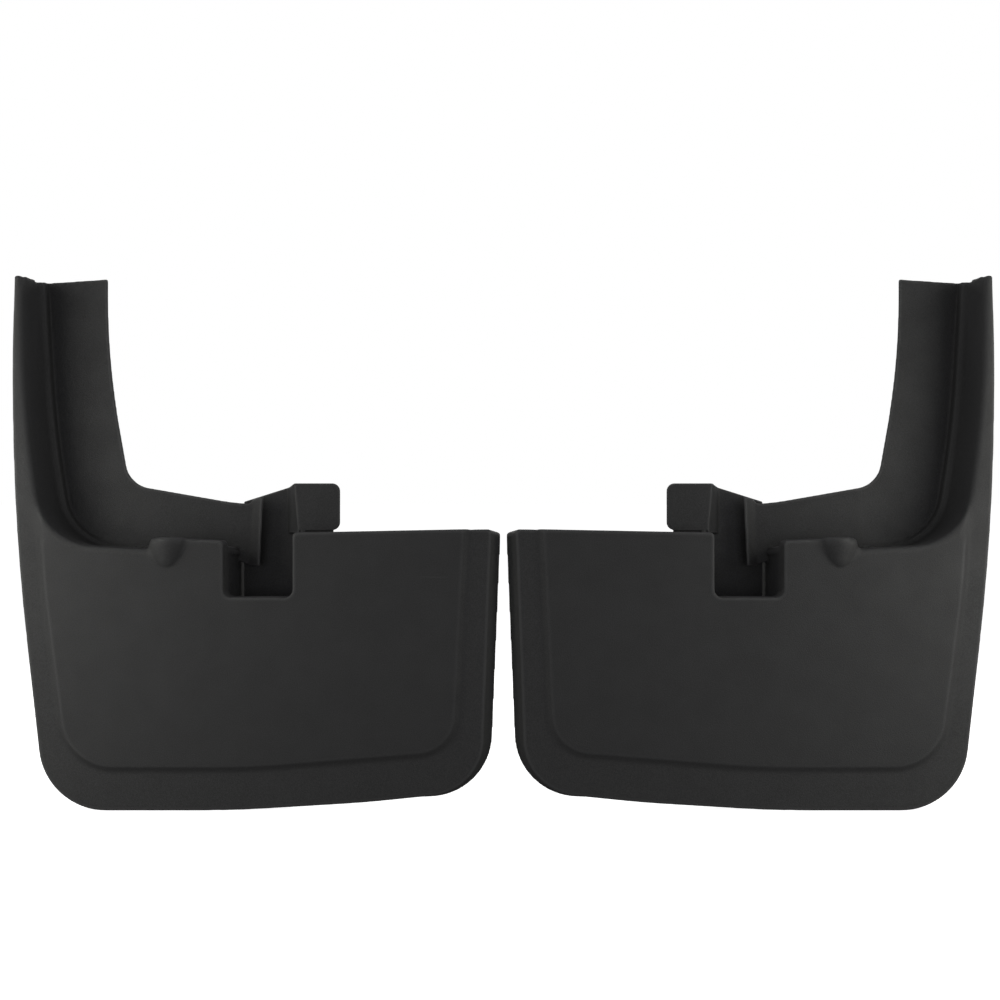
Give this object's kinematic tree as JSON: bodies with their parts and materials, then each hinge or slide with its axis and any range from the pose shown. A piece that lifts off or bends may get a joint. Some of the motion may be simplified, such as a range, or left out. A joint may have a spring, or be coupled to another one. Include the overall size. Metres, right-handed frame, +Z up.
{
  "type": "mud flap pair",
  "caption": "Left and right moulded mud guards: flat panel with raised field and notch, tall side arm with a deep channel, and a bolted inner bracket with a tab.",
  "frame": {"origin": "between the two flaps at the height of their lowest edge, at mid depth of the whole pair", "axes": "+Z up, +X from the left-hand flap to the right-hand flap, +Y away from the smooth show face"},
  "size_m": [0.7326, 0.0774, 0.4035],
  "materials": {
    "guard_plastic": "fine textured, matt black",
    "bracket_plastic": "fine textured, matt black",
    "screw_steel": "black zinc",
    "washer_steel": "bright zinc",
    "foam": "closed-cell foam"
  },
  "bodies": {
    "left_flap": {"left_guard": "guard_plastic", "left_bracket": "bracket_plastic", "left_bracket_screws": "screw_steel", "left_bracket_washers": "washer_steel", "left_floor_foam": "foam", "left_tab_foam": "foam"},
    "right_flap": {"right_guard": "guard_plastic", "right_bracket": "bracket_plastic", "right_bracket_screws": "screw_steel", "right_bracket_washers": "washer_steel", "right_floor_foam": "foam", "right_tab_foam": "foam"}
  },
  "joints": [
    {"name": "pair_slide", "type": "slide", "parent": "left_flap", "child": "right_flap", "axis": [1, 0, 0], "range_m": [0, 0.3]}
  ]
}
